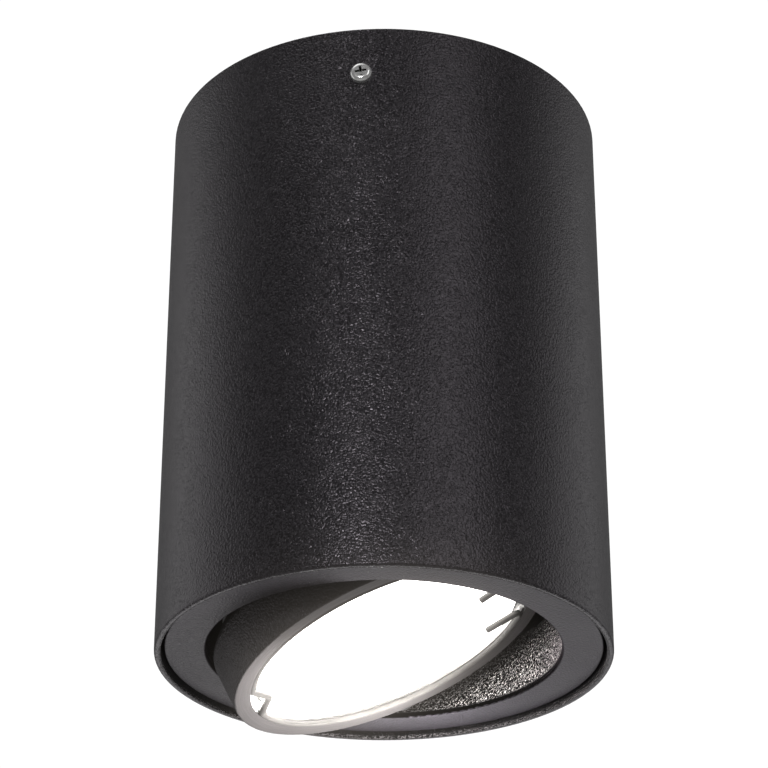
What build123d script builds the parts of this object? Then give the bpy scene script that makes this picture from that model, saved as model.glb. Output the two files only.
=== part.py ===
from build123d import *
import os
from math import cos, radians, sin, tan

# Surface mounted ceiling spotlight with a tilting, turning head.
# Millimetres, +Z up. Origin: centre of the face that lies on the ceiling.
# The tube hangs down to z = -108 and the two side screws lie on the Y axis.
# The head is drawn as it stands at rest, tilted so that it shines down and
# towards +X.

os.makedirs("parts", exist_ok=True)

# ---------------------------------------------------------------- dimensions
# housing tube
tube_r = 41.0
tube_wall = 1.2
tube_ir = tube_r - tube_wall
height = 108.0
rim_outer_round = 0.5
rim_inner_round = 0.3

# ceiling bracket
plate_t = 1.5
plate_r = 37.5
plate_w = 60.0
tab_w = 14.0
tab_out = 39.0
tab_len = 15.0
slot_pitch = 52.0
slot_len = 9.0
slot_w = 4.5
cable_hole_r = 6.5
cable_bore_r = 4.0

# side screws
side_screw_z = -10.1
side_screw_r = 1.2
side_screw_head_r = 2.0
side_screw_head_h = 1.25

# terminal block
block_x0, block_x1 = -30.0, -14.0
block_y = 14.5
block_z = -9.5
pole_pitch = 9.5
pole_z = -6.0
insert_r = 2.6
insert_bore_r = 1.7
tower_x = (-25.8, -18.2)
tower_r = 2.7
tower_z = -13.6

# leads
lead_r = 1.0
junction_z = -22.0

# carrier ring and turntable
flange_z0, flange_z1 = -98.0, -96.0
carrier_bore_r = 35.28
carrier_wall_in = 38.4
carrier_top = -91.0
stop_pin_r = 0.8
stop_pin_at = 37.5

face_z = -106.8
face_t = 1.4
face_r = 39.25
opening_r = 31.8
collar_r = 35.2
collar_top = -95.2
rib_r = 37.2
rib_z0, rib_z1 = -99.8, -98.6
keeper_t = 1.2
keeper_r = 36.5
keeper_screw_at = 33.5

# tilting head, in its own axes: r from the beam axis, h upwards from the pivot
tilt_rest = 22.0
pivot_z = -102.8
lip_r, lip_h = 29.75, -3.3
mouth_r = 26.75
groove_r = 26.95
lamp_bore_r = 25.6
head_max_r, head_max_h = 30.42, 6.0
seat_h = 2.0
seat_r = 24.2
clip_r, clip_wire_r, clip_h = 26.3, 0.6, -2.85
pivot_shoulder_r = 2.0
pivot_bore_r = 2.05

# lamp and lampholder, in the lamp's own axes: the head's, set forward by lamp_set
lamp_set = -1.4
lamp_r = 25.0
lamp_front_h = -0.7
lamp_base_end = 45.5
pin_pitch = 10.0
holder_r = 13.5
holder_h0, holder_h1 = 45.5, 59.0
back_plate_h = 60.6

# ------------------------------------------------------------- planes, axes
tilt = radians(tilt_rest)
head_x = (cos(tilt), 0, sin(tilt))
head_z = (-sin(tilt), 0, cos(tilt))
pivot = (0, 0, pivot_z)
HEAD = Plane(origin=pivot, x_dir=head_x, z_dir=head_z)
HEAD_SECTION = Plane(origin=pivot, x_dir=head_x, z_dir=(0, -1, 0))
HEAD_AXIS = Axis(pivot, head_z)
LAMP = HEAD.offset(lamp_set)
LAMP_SECTION = Plane(origin=LAMP.origin, x_dir=head_x, z_dir=(0, -1, 0))


def head_point(x, y, h):
    """A point given in the head's own axes, as a point of the whole object."""
    return (
        x * head_x[0] + h * head_z[0],
        y,
        pivot_z + x * head_x[2] + h * head_z[2],
    )


def bend_radii(points, share=0.45):
    """One radius for each corner of a wire route, as large as its runs allow."""
    v = [Vector(*p) for p in points]
    out = []
    for a, b, c in zip(v, v[1:], v[2:]):
        turn = (b - a).get_angle(c - b)
        run = min((b - a).length, (c - b).length)
        out.append(share * run / tan(radians(turn / 2)))
    return out


# ------------------------------------------------------------------ housing
with BuildPart() as housing_tube:
    with BuildSketch(Plane.XY.offset(-height)):
        Circle(tube_r)
        Circle(tube_ir, mode=Mode.SUBTRACT)
    extrude(amount=height)
    low = housing_tube.edges().filter_by(GeomType.CIRCLE).group_by(Axis.Z)[0]
    fillet(low.sort_by(SortBy.RADIUS)[-1], radius=rim_outer_round)
    low = housing_tube.edges().filter_by(GeomType.CIRCLE).group_by(Axis.Z)[0]
    fillet(low.sort_by(SortBy.RADIUS)[0], radius=rim_inner_round)
    top = housing_tube.edges().filter_by(GeomType.CIRCLE).group_by(Axis.Z)[-1]
    fillet(top.sort_by(SortBy.RADIUS)[-1], radius=0.35)
    # clearance holes for the two side screws
    with BuildSketch(Plane.XZ):
        with Locations((0, side_screw_z)):
            Circle(1.45)
    extrude(amount=tube_r + 1, both=True, mode=Mode.SUBTRACT)
housing_tube.part.label = "housing_tube"
export_step(housing_tube.part, "parts/housing_tube.step")

block_screws_at = [(-22.0, 4.75), (-22.0, -4.75)]
earth_at = (19.0, 9.0)

with BuildPart() as ceiling_bracket:
    with BuildSketch(Plane.XY.offset(-plate_t)):
        Circle(plate_r)
        Rectangle(plate_w, 2 * plate_r, mode=Mode.INTERSECT)
        Rectangle(tab_w, 2 * tab_out)
        with Locations((0, slot_pitch / 2), (0, -slot_pitch / 2)):
            SlotOverall(slot_len, slot_w, rotation=90, mode=Mode.SUBTRACT)
        Circle(cable_hole_r, mode=Mode.SUBTRACT)
        with Locations(*block_screws_at):
            Circle(1.25, mode=Mode.SUBTRACT)
        with Locations(earth_at):
            Circle(1.95, mode=Mode.SUBTRACT)
        # lightening windows on the side away from the terminal block
        with Locations((19, -13)):
            SlotOverall(15, 6, rotation=115, mode=Mode.SUBTRACT)
    extrude(amount=plate_t)
    # the two bent tabs that take the side screws
    tab_mid = tab_out - plate_t / 2
    with BuildSketch(Plane.XY.offset(-tab_len)):
        with Locations((0, tab_mid), (0, -tab_mid)):
            Rectangle(tab_w, plate_t)
    extrude(amount=tab_len)
    across = ceiling_bracket.edges().filter_by(Axis.X)
    fillet(
        [e for e in across if abs(abs(e.center().Y) - tab_out) < 1e-3 and e.center().Z > -1e-3],
        radius=2.0,
    )
    across = ceiling_bracket.edges().filter_by(Axis.X)
    fillet(
        [
            e
            for e in across
            if abs(abs(e.center().Y) - tab_out + plate_t) < 1e-3
            and abs(e.center().Z + plate_t) < 1e-3
        ],
        radius=0.5,
    )
    fillet(
        [e for e in ceiling_bracket.edges().filter_by(Axis.Y) if e.center().Z < -tab_len + 0.01],
        radius=3.0,
    )
    # drawn collars with the screw threads
    for side in (1, -1):
        inner_face = Plane(
            origin=(0, side * (tab_out - plate_t), side_screw_z),
            x_dir=(1, 0, 0),
            z_dir=(0, -side, 0),
        )
        with BuildSketch(inner_face):
            Circle(2.5)
        extrude(amount=1.4)
        with BuildSketch(inner_face):
            Circle(1.25)
        extrude(amount=4, both=True, mode=Mode.SUBTRACT)
ceiling_bracket.part.label = "ceiling_bracket"
export_step(ceiling_bracket.part, "parts/ceiling_bracket.step")

with BuildPart() as side_screws:
    seat = Plane(origin=(0, -tube_r, side_screw_z), x_dir=(1, 0, 0), z_dir=(0, -1, 0))
    with BuildSketch(seat):
        Circle(side_screw_head_r)
    extrude(amount=side_screw_head_h)
    rim = side_screws.edges().filter_by(GeomType.CIRCLE).sort_by(Axis.Y)[0]
    fillet(rim, radius=0.85)
    with BuildSketch(seat):
        Circle(side_screw_r)
    extrude(amount=-6.4)
    tip = side_screws.edges().filter_by(GeomType.CIRCLE).sort_by(Axis.Y)[-1]
    chamfer(tip, length=0.4)
    # cross recess
    with BuildSketch(seat.offset(side_screw_head_h)):
        Rectangle(2.1, 0.46, rotation=8)
        Rectangle(0.46, 2.1, rotation=8)
    extrude(amount=-0.85, taper=8, mode=Mode.SUBTRACT)
    mirror(about=Plane.XZ)
side_screws.part.label = "side_screws"
export_step(side_screws.part, "parts/side_screws.step")

with BuildPart() as cable_grommet:
    with BuildSketch(Plane.XZ):
        with BuildLine():
            Polyline(
                (cable_bore_r, 0),
                (cable_hole_r - 0.05, 0),
                (cable_hole_r - 0.05, -plate_t),
                (8.2, -plate_t),
                (8.2, -plate_t - 1.3),
                (6.4, -plate_t - 2.6),
                (cable_bore_r, -plate_t - 2.6),
                close=True,
            )
        make_face()
    revolve(axis=Axis.Z)
    fillet(
        cable_grommet.edges()
        .filter_by(GeomType.CIRCLE)
        .filter_by(lambda e: e.radius > 8.0 and e.center().Z < -plate_t - 1),
        radius=0.5,
    )
cable_grommet.part.label = "cable_grommet"
export_step(cable_grommet.part, "parts/cable_grommet.step")

poles = (-pole_pitch, 0.0, pole_pitch)
block_mid = (block_x0 + block_x1) / 2
block_len = block_x1 - block_x0

with BuildPart() as terminal_block:
    with BuildSketch(Plane.XY.offset(block_z)):
        with Locations((block_mid, 0)):
            RectangleRounded(block_len, 2 * block_y, 1.2)
        # break-off notches between the poles
        with Locations(
            *[(x, y) for x in (block_x0, block_x1) for y in (-pole_pitch / 2, pole_pitch / 2)]
        ):
            Rectangle(5.0, 1.4, mode=Mode.SUBTRACT)
    extrude(amount=-plate_t - block_z)
    # screw towers
    with BuildSketch(Plane.XY.offset(tower_z)):
        with Locations(*[(x, y) for x in tower_x for y in poles]):
            Circle(tower_r)
    extrude(amount=block_z - tower_z)
    with BuildSketch(Plane.XY.offset(tower_z)):
        with Locations(*[(x, y) for x in tower_x for y in poles]):
            Circle(1.9)
    extrude(amount=pole_z - tower_z, mode=Mode.SUBTRACT)
    # through passages for the brass inserts
    with BuildSketch(Plane.YZ.offset(block_x0 - 1)):
        with Locations(*[(y, pole_z) for y in poles]):
            Circle(insert_r)
    extrude(amount=block_len + 2, mode=Mode.SUBTRACT)
    # fixing holes
    with BuildSketch(Plane.XY.offset(block_z)):
        with Locations(*block_screws_at):
            Circle(1.3)
    extrude(amount=-block_z, mode=Mode.SUBTRACT)
terminal_block.part.label = "terminal_block"
export_step(terminal_block.part, "parts/terminal_block.step")

insert_x0, insert_x1 = block_x0 + 1.2, block_x1 - 1.2
with BuildPart() as terminal_inserts:
    with BuildSketch(Plane.YZ.offset(insert_x0)):
        with Locations(*[(y, pole_z) for y in poles]):
            Circle(insert_r)
            Circle(insert_bore_r, mode=Mode.SUBTRACT)
    extrude(amount=insert_x1 - insert_x0)
    with BuildSketch(Plane.XY.offset(pole_z)):
        with Locations(*[(x, y) for x in tower_x for y in poles]):
            Circle(1.5)
    extrude(amount=-3.5, mode=Mode.SUBTRACT)
terminal_inserts.part.label = "terminal_inserts"
export_step(terminal_inserts.part, "parts/terminal_inserts.step")

with BuildPart() as terminal_screws:
    for x, tip_z in ((tower_x[0], pole_z - insert_bore_r), (tower_x[1], pole_z - lead_r - 0.02)):
        with BuildSketch(Plane.XY.offset(tip_z)):
            with Locations(*[(x, y) for y in poles]):
                Circle(1.45)
        extrude(amount=-12.6 - tip_z)
        with BuildSketch(Plane.XY.offset(-12.6)):
            with Locations(*[(x, y) for y in poles]):
                Circle(1.75)
        extrude(amount=1.2)
        with BuildSketch(Plane.XY.offset(-12.6)):
            with Locations(*[(x, y) for y in poles]):
                Rectangle(3.6, 0.6)
        extrude(amount=0.7, mode=Mode.SUBTRACT)
terminal_screws.part.label = "terminal_screws"
export_step(terminal_screws.part, "parts/terminal_screws.step")

with BuildPart() as block_screws:
    with BuildSketch(Plane.XY.offset(block_z)):
        with Locations(*block_screws_at):
            Circle(2.2)
    extrude(amount=-1.4)
    fillet(
        block_screws.edges().filter_by(GeomType.CIRCLE).group_by(Axis.Z)[0],
        radius=0.6,
    )
    with BuildSketch(Plane.XY.offset(block_z)):
        with Locations(*block_screws_at):
            Circle(1.2)
    extrude(amount=-block_z - 0.3)
    with BuildSketch(Plane.XY.offset(block_z - 1.4)):
        with Locations(*block_screws_at):
            Rectangle(2.6, 0.5)
            Rectangle(0.5, 2.6)
    extrude(amount=0.8, taper=6, mode=Mode.SUBTRACT)
block_screws.part.label = "block_screws"
export_step(block_screws.part, "parts/block_screws.step")

# protective earth, stacked under the bracket plate
with BuildPart() as earth_washer:
    with BuildSketch(Plane.XY.offset(-plate_t - 0.7)):
        with Locations(earth_at):
            Circle(3.6)
        with Locations(Location((earth_at[0], earth_at[1], 0))):
            with PolarLocations(3.6, 12):
                Rectangle(1.0, 0.9)
        with Locations(earth_at):
            Circle(2.15, mode=Mode.SUBTRACT)
    extrude(amount=0.7)
earth_washer.part.label = "earth_washer"
export_step(earth_washer.part, "parts/earth_washer.step")

ring_top = -plate_t - 0.7
barrel_z = -3.6
with BuildPart() as earth_ring_terminal:
    with BuildSketch(Plane.XY.offset(ring_top - 0.8)):
        with Locations(earth_at):
            Circle(3.8)
        with Locations((earth_at[0] - 4.2, earth_at[1])):
            Rectangle(3.4, 3.0)
        with Locations(earth_at):
            Circle(2.15, mode=Mode.SUBTRACT)
    extrude(amount=0.8)
    with BuildSketch(Plane.YZ.offset(8.5)):
        with Locations((earth_at[1], barrel_z)):
            Circle(1.75)
    extrude(amount=5.6)
    with BuildSketch(Plane.YZ.offset(8.5)):
        with Locations((earth_at[1], barrel_z)):
            Circle(1.06)
    extrude(amount=4.8, mode=Mode.SUBTRACT)
earth_ring_terminal.part.label = "earth_ring_terminal"
export_step(earth_ring_terminal.part, "parts/earth_ring_terminal.step")

earth_head_z = ring_top - 0.8
with BuildPart() as earth_screw:
    with BuildSketch(Plane.XY.offset(earth_head_z)):
        with Locations(earth_at):
            Circle(3.5)
    extrude(amount=-2.2)
    fillet(
        earth_screw.edges().filter_by(GeomType.CIRCLE).group_by(Axis.Z)[0],
        radius=1.0,
    )
    with BuildSketch(Plane.XY.offset(earth_head_z)):
        with Locations(earth_at):
            Circle(1.9)
    extrude(amount=-earth_head_z - 0.1)
    with BuildSketch(Plane.XY.offset(earth_head_z - 2.2)):
        with Locations(earth_at):
            Rectangle(4.0, 0.8)
            Rectangle(0.8, 4.0)
    extrude(amount=1.3, taper=8, mode=Mode.SUBTRACT)
earth_screw.part.label = "earth_screw"
export_step(earth_screw.part, "parts/earth_screw.step")

earth_route = [
    (-19.0, pole_pitch, pole_z),
    (-7.0, pole_pitch, pole_z),
    (0.0, 12.0, -5.0),
    (5.5, earth_at[1], barrel_z),
    (13.2, earth_at[1], barrel_z),
]
with BuildPart() as earth_lead:
    with BuildLine() as route:
        FilletPolyline(*earth_route, radius=bend_radii(earth_route))
    with BuildSketch(Plane(origin=earth_route[0], z_dir=(1, 0, 0))):
        Circle(lead_r)
    sweep(path=route.wires()[0])
earth_lead.part.label = "earth_lead"
export_step(earth_lead.part, "parts/earth_lead.step")

# ring pressed into the tube: its flange carries the turntable
with BuildPart() as carrier_ring:
    with BuildSketch(Plane.XZ):
        with BuildLine():
            Polyline(
                (carrier_bore_r, flange_z0),
                (tube_ir, flange_z0),
                (tube_ir, carrier_top),
                (carrier_wall_in, carrier_top),
                (carrier_wall_in, flange_z1),
                (carrier_bore_r, flange_z1),
                close=True,
            )
        make_face()
    revolve(axis=Axis.Z)
    with BuildSketch(Plane.XY.offset(flange_z0)):
        with Locations((stop_pin_at, 0)):
            Circle(stop_pin_r)
    extrude(amount=flange_z1 - flange_z0, mode=Mode.SUBTRACT)
carrier_ring.part.label = "carrier_ring"
export_step(carrier_ring.part, "parts/carrier_ring.step")

with BuildPart() as stop_pin:
    with BuildSketch(Plane.XY.offset(flange_z0)):
        with Locations((stop_pin_at, 0)):
            Circle(stop_pin_r)
    extrude(amount=4.3)
    chamfer(stop_pin.edges().filter_by(GeomType.CIRCLE).sort_by(Axis.Z)[-1], length=0.2)
stop_pin.part.label = "stop_pin"
export_step(stop_pin.part, "parts/stop_pin.step")

# the lampholder's two leads, from the block to the junction on the swivel axis
upper_a = [(-19.0, 0, pole_z), (-1.2, 0, pole_z), (-1.2, 0, junction_z)]
upper_b = [
    (-19.0, -pole_pitch, pole_z),
    (1.2, -pole_pitch, pole_z),
    (1.2, 0, -15.0),
    (1.2, 0, junction_z),
]
with BuildPart() as holder_leads_upper:
    for points in (upper_a, upper_b):
        with BuildLine(mode=Mode.PRIVATE) as route:
            FilletPolyline(*points, radius=bend_radii(points))
        first = Vector(*points[1]) - Vector(*points[0])
        with BuildSketch(Plane(origin=points[0], z_dir=first)):
            Circle(lead_r)
        sweep(path=route.wires()[0])
holder_leads_upper.part.label = "holder_leads_upper"
export_step(holder_leads_upper.part, "parts/holder_leads_upper.step")

# ------------------------------------------------------------------- swivel
with BuildPart() as lead_sleeve:
    with BuildSketch(Plane.XY.offset(-26.5)):
        Circle(2.9)
        Circle(2.42, mode=Mode.SUBTRACT)
    extrude(amount=9.0)
lead_sleeve.part.label = "lead_sleeve"
export_step(lead_sleeve.part, "parts/lead_sleeve.step")

keeper_angles = (60.0, 180.0, 300.0)
keeper_points = [
    (keeper_screw_at * cos(radians(a)), keeper_screw_at * sin(radians(a)))
    for a in keeper_angles
]

with BuildPart() as swivel_ring:
    with BuildSketch(Plane.XZ):
        with BuildLine():
            Polyline(
                (opening_r, face_z),
                (face_r, face_z),
                (face_r, face_z + face_t),
                (collar_r, face_z + face_t),
                (collar_r, rib_z0),
                (rib_r, rib_z0),
                (rib_r, rib_z1),
                (collar_r, rib_z1),
                (collar_r, collar_top),
                (opening_r, collar_top),
                close=True,
            )
        make_face()
    revolve(axis=Axis.Z)
    face_edges = swivel_ring.edges().filter_by(GeomType.CIRCLE).group_by(Axis.Z)[0]
    fillet(face_edges.sort_by(SortBy.RADIUS)[-1], radius=0.35)
    face_edges = swivel_ring.edges().filter_by(GeomType.CIRCLE).group_by(Axis.Z)[0]
    fillet(face_edges.sort_by(SortBy.RADIUS)[0], radius=0.4)
    # pivot bores with flat seats for the screw heads
    for side in (1, -1):
        bore = Plane(origin=(0, side * 30.0, pivot_z), x_dir=(1, 0, 0), z_dir=(0, side, 0))
        with BuildSketch(bore):
            Circle(pivot_bore_r)
        extrude(amount=7.0, mode=Mode.SUBTRACT)
        with BuildSketch(bore.offset(4.9)):
            Circle(2.5)
        extrude(amount=2.0, mode=Mode.SUBTRACT)
    # threads for the retaining ring
    with BuildSketch(Plane.XY.offset(collar_top)):
        with Locations(*keeper_points):
            Circle(1.0)
    extrude(amount=-4.5, mode=Mode.SUBTRACT)
swivel_ring.part.label = "swivel_ring"
export_step(swivel_ring.part, "parts/swivel_ring.step")

with BuildPart() as lower_glide_washer:
    with BuildSketch(Plane.XY.offset(rib_z1 + 0.03)):
        Circle(37.6)
        Circle(collar_r + 0.08, mode=Mode.SUBTRACT)
    extrude(amount=0.5)
lower_glide_washer.part.label = "lower_glide_washer"
export_step(lower_glide_washer.part, "parts/lower_glide_washer.step")

with BuildPart() as upper_glide_washer:
    with BuildSketch(Plane.XY.offset(flange_z1 + 0.1)):
        Circle(keeper_r)
        Circle(collar_r + 0.08, mode=Mode.SUBTRACT)
    extrude(amount=0.65)
upper_glide_washer.part.label = "upper_glide_washer"
export_step(upper_glide_washer.part, "parts/upper_glide_washer.step")

with BuildPart() as retaining_ring:
    with BuildSketch(Plane.XY.offset(collar_top)):
        Circle(keeper_r)
        # stop tab, opposite the stop pin
        with Locations((-37.1, 0)):
            Rectangle(1.8, 2.4)
        Circle(opening_r + 0.2, mode=Mode.SUBTRACT)
        with Locations(*keeper_points):
            Circle(1.05, mode=Mode.SUBTRACT)
    extrude(amount=keeper_t)
retaining_ring.part.label = "retaining_ring"
export_step(retaining_ring.part, "parts/retaining_ring.step")

keeper_top = collar_top + keeper_t
with BuildPart() as retaining_screws:
    with BuildSketch(Plane.XY.offset(keeper_top)):
        with Locations(*keeper_points):
            Circle(1.7)
    extrude(amount=1.3)
    fillet(
        retaining_screws.edges().filter_by(GeomType.CIRCLE).group_by(Axis.Z)[-1],
        radius=0.55,
    )
    with BuildSketch(Plane.XY.offset(keeper_top)):
        with Locations(*keeper_points):
            Circle(0.97)
    extrude(amount=-5.4)
    with BuildSketch(Plane.XY.offset(keeper_top + 1.3)):
        with Locations(*keeper_points):
            Rectangle(1.9, 0.4)
            Rectangle(0.4, 1.9)
    extrude(amount=-0.7, taper=6, mode=Mode.SUBTRACT)
retaining_screws.part.label = "retaining_screws"
export_step(retaining_screws.part, "parts/retaining_screws.step")

# --------------------------------------------------------------------- head
with BuildPart() as tilt_head:
    with BuildSketch(HEAD_SECTION):
        with BuildLine():
            Polyline(
                (lamp_bore_r, -1.0),
                (groove_r, -2.3),
                (groove_r, -3.0),
                (mouth_r, lip_h),
                (lip_r, lip_h),
                (head_max_r, head_max_h),
                (28.7, 8.3),
                (26.8, 9.0),
                (26.4, 12.0),
                (24.8, 12.0),
                (seat_r, 11.4),
                (seat_r, seat_h),
                (lamp_bore_r, seat_h),
                close=True,
            )
        make_face()
    revolve(axis=HEAD_AXIS)
    # softened lip edge and shoulder
    rings = tilt_head.edges().filter_by(GeomType.CIRCLE)
    fillet([e for e in rings if abs(e.radius - lip_r) < 1e-3], radius=0.3)
    rings = tilt_head.edges().filter_by(GeomType.CIRCLE)
    fillet([e for e in rings if abs(e.radius - head_max_r) < 1e-3], radius=1.6)
    # threaded holes for the pivot screws
    for side in (1, -1):
        with BuildSketch(Plane(origin=(0, side * 26.9, pivot_z), x_dir=(1, 0, 0), z_dir=(0, side, 0))):
            Circle(1.5)
        extrude(amount=6.0, mode=Mode.SUBTRACT)
tilt_head.part.label = "tilt_head"
export_step(tilt_head.part, "parts/tilt_head.step")

with BuildPart() as pivot_screws:
    for side in (1, -1):
        at = Plane(origin=(0, side * 27.0, pivot_z), x_dir=(1, 0, 0), z_dir=(0, side, 0))
        with BuildSketch(at):
            Circle(1.45)
        extrude(amount=3.3)
        with BuildSketch(at.offset(3.2)):
            Circle(pivot_shoulder_r)
        extrude(amount=4.8)
        with BuildSketch(at.offset(7.95)):
            Circle(2.3)
        extrude(amount=1.5)
        with BuildSketch(at.offset(9.45)):
            Rectangle(4.8, 0.7)
        extrude(amount=-0.7, mode=Mode.SUBTRACT)
pivot_screws.part.label = "pivot_screws"
export_step(pivot_screws.part, "parts/pivot_screws.step")

with BuildPart() as pivot_washers:
    for side in (1, -1):
        at = Plane(origin=(0, side * 30.25, pivot_z), x_dir=(1, 0, 0), z_dir=(0, side, 0))
        with BuildSketch(at):
            Circle(2.8)
            Circle(pivot_bore_r, mode=Mode.SUBTRACT)
        extrude(amount=1.3)
pivot_washers.part.label = "pivot_washers"
export_step(pivot_washers.part, "parts/pivot_washers.step")

# wire snap ring: a kink on the low side and two ends bent in over the lamp
def on_clip(angle, r=clip_r):
    return (r * cos(radians(angle)), r * sin(radians(angle)))


with BuildPart() as lamp_clip:
    wire_plane = HEAD.offset(clip_h)
    kink_tip = (-23.3, 0.5)
    ends = [(18.0, 10.75), (17.85, -3.1)]
    with BuildLine(wire_plane) as wire:
        Line(ends[0], on_clip(18.0))
        CenterArc((0, 0), clip_r, 18.0, 149.0)
        Line(on_clip(167.0), kink_tip)
        Line(kink_tip, on_clip(190.0))
        CenterArc((0, 0), clip_r, 190.0, 155.0)
        Line(on_clip(-15.0), ends[1])
        tips = [wire_plane.from_local_coords(Vector(x, y, 0)) for x, y in ends]
        bends = [v for v in wire.vertices() if min((Vector(*v) - t).length for t in tips) > 0.01]
        fillet(bends, radius=1.0)
    spring = wire.wires()[0]
    with BuildSketch(Plane(origin=spring @ 0, z_dir=spring % 0)):
        Circle(clip_wire_r)
    sweep(path=spring)
lamp_clip.part.label = "lamp_clip"
export_step(lamp_clip.part, "parts/lamp_clip.step")

with BuildPart() as lamp_lens:
    with BuildSketch(LAMP_SECTION):
        with BuildLine():
            Polyline(
                (0, -0.8),
                (0, 1.1),
                (24.2, 1.1),
                (24.2, -0.62),
                (21.0, -0.8),
                close=True,
            )
        make_face()
    revolve(axis=HEAD_AXIS)
lamp_lens.part.label = "lamp_lens"
export_step(lamp_lens.part, "parts/lamp_lens.step")

with BuildPart() as lamp_body:
    with BuildSketch(LAMP_SECTION):
        with BuildLine():
            Polyline(
                (24.3, lamp_front_h),
                (lamp_r, lamp_front_h),
                (lamp_r, 3.3),
                (24.0, 3.35),
                (23.9, 3.7),
                (23.2, 6.0),
                (12.0, 30.5),
                (10.2, 30.5),
                (10.2, 29.0),
                (17.4, 10.6),
                (19.2, 10.6),
                (19.2, 9.0),
                (22.6, 1.2),
                (24.3, 1.2),
                close=True,
            )
        make_face()
    revolve(axis=HEAD_AXIS)
lamp_body.part.label = "lamp_body"
export_step(lamp_body.part, "parts/lamp_body.step")

with BuildPart() as lamp_led_board:
    with BuildSketch(LAMP.offset(9.0)):
        Circle(19.1)
    extrude(amount=1.5)
    with BuildSketch(LAMP.offset(9.0)):
        Rectangle(3.0, 3.0)
        with PolarLocations(10.5, 6):
            Rectangle(3.0, 3.0)
    extrude(amount=-0.7)
lamp_led_board.part.label = "lamp_led_board"
export_step(lamp_led_board.part, "parts/lamp_led_board.step")

with BuildPart() as lamp_base:
    with BuildSketch(LAMP_SECTION):
        with BuildLine():
            Polyline(
                (0, 28.6),
                (10.1, 28.6),
                (10.1, 30.5),
                (12.0, 30.5),
                (11.8, 33.0),
                (11.5, 44.7),
                (10.7, lamp_base_end),
                (0, lamp_base_end),
                close=True,
            )
        make_face()
    revolve(axis=HEAD_AXIS)
lamp_base.part.label = "lamp_base"
export_step(lamp_base.part, "parts/lamp_base.step")

pins_at = [(0, pin_pitch / 2), (0, -pin_pitch / 2)]
with BuildPart() as lamp_pins:
    with BuildSketch(LAMP.offset(lamp_base_end)):
        with Locations(*pins_at):
            Circle(1.5)
    extrude(amount=4.9)
    with BuildSketch(LAMP.offset(50.3)):
        with Locations(*pins_at):
            Circle(2.5)
    extrude(amount=2.5)
lamp_pins.part.label = "lamp_pins"
export_step(lamp_pins.part, "parts/lamp_pins.step")

rivets_at = [(9.5, 0), (-9.5, 0)]
with BuildPart() as lampholder:
    with BuildSketch(LAMP.offset(holder_h0)):
        Circle(holder_r)
    extrude(amount=holder_h1 - holder_h0)
    # curved keyholes that let the pins twist into place
    for a in (90.0, 270.0):
        swing = CenterArc((0, 0), pin_pitch / 2, a, 24.0, mode=Mode.PRIVATE)
        with BuildSketch(LAMP.offset(holder_h0)):
            SlotArc(swing, 3.4)
            with Locations(swing @ 1):
                Circle(2.8)
        extrude(amount=4.8, mode=Mode.SUBTRACT)
        with BuildSketch(LAMP.offset(50.2)):
            SlotArc(swing, 5.8)
        extrude(amount=2.9, mode=Mode.SUBTRACT)
        # contact chamber, open at the back
        with BuildSketch(LAMP.offset(53.0)):
            with Locations(swing @ 0):
                Circle(2.9)
        extrude(amount=7.0, mode=Mode.SUBTRACT)
    with BuildSketch(LAMP.offset(holder_h0)):
        with Locations(*rivets_at):
            Circle(1.1)
    extrude(amount=14.0, mode=Mode.SUBTRACT)
    with BuildSketch(LAMP.offset(holder_h0)):
        with Locations(*rivets_at):
            Circle(2.2)
    extrude(amount=1.2, mode=Mode.SUBTRACT)
lampholder.part.label = "lampholder"
export_step(lampholder.part, "parts/lampholder.step")

with BuildPart() as holder_back_plate:
    with BuildSketch(LAMP.offset(holder_h1)):
        Circle(12.8)
        with Locations(*pins_at):
            Circle(1.2, mode=Mode.SUBTRACT)
        with Locations(*rivets_at):
            Circle(1.1, mode=Mode.SUBTRACT)
    extrude(amount=back_plate_h - holder_h1)
holder_back_plate.part.label = "holder_back_plate"
export_step(holder_back_plate.part, "parts/holder_back_plate.step")

with BuildPart() as holder_rivets:
    with BuildSketch(LAMP.offset(46.0)):
        with Locations(*rivets_at):
            Circle(1.05)
    extrude(amount=back_plate_h - 46.0)
    with BuildSketch(LAMP.offset(45.9)):
        with Locations(*rivets_at):
            Circle(2.0)
    extrude(amount=0.8)
    with BuildSketch(LAMP.offset(back_plate_h)):
        with Locations(*rivets_at):
            Circle(2.0)
    extrude(amount=0.7)
holder_rivets.part.label = "holder_rivets"
export_step(holder_rivets.part, "parts/holder_rivets.step")

with BuildPart() as holder_contacts:
    with BuildSketch(LAMP.offset(52.82)):
        with Locations(*pins_at):
            Circle(2.3)
    extrude(amount=1.0)
    with BuildSketch(LAMP.offset(53.8)):
        with Locations(*pins_at):
            Circle(1.3)
    extrude(amount=3.8)
holder_contacts.part.label = "holder_contacts"
export_step(holder_contacts.part, "parts/holder_contacts.step")

# the same two leads, from the junction down to the lampholder
lower_a = [
    (-1.2, 0, junction_z),
    (-1.2, 0, -31.0),
    (-21.5, 4.6, -33.5),
    head_point(0, 5.0, 66.6),
    head_point(0, 5.0, 56.3),
]
lower_b = [
    (1.2, 0, junction_z),
    (1.2, 0, -35.0),
    (-22.0, -4.6, -35.8),
    head_point(0, -5.0, 65.6),
    head_point(0, -5.0, 56.3),
]
with BuildPart() as holder_leads_lower:
    for points in (lower_a, lower_b):
        with BuildLine(mode=Mode.PRIVATE) as route:
            FilletPolyline(*points, radius=bend_radii(points))
        first = Vector(*points[1]) - Vector(*points[0])
        with BuildSketch(Plane(origin=points[0], z_dir=first)):
            Circle(lead_r)
        sweep(path=route.wires()[0])
holder_leads_lower.part.label = "holder_leads_lower"
export_step(holder_leads_lower.part, "parts/holder_leads_lower.step")

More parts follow.
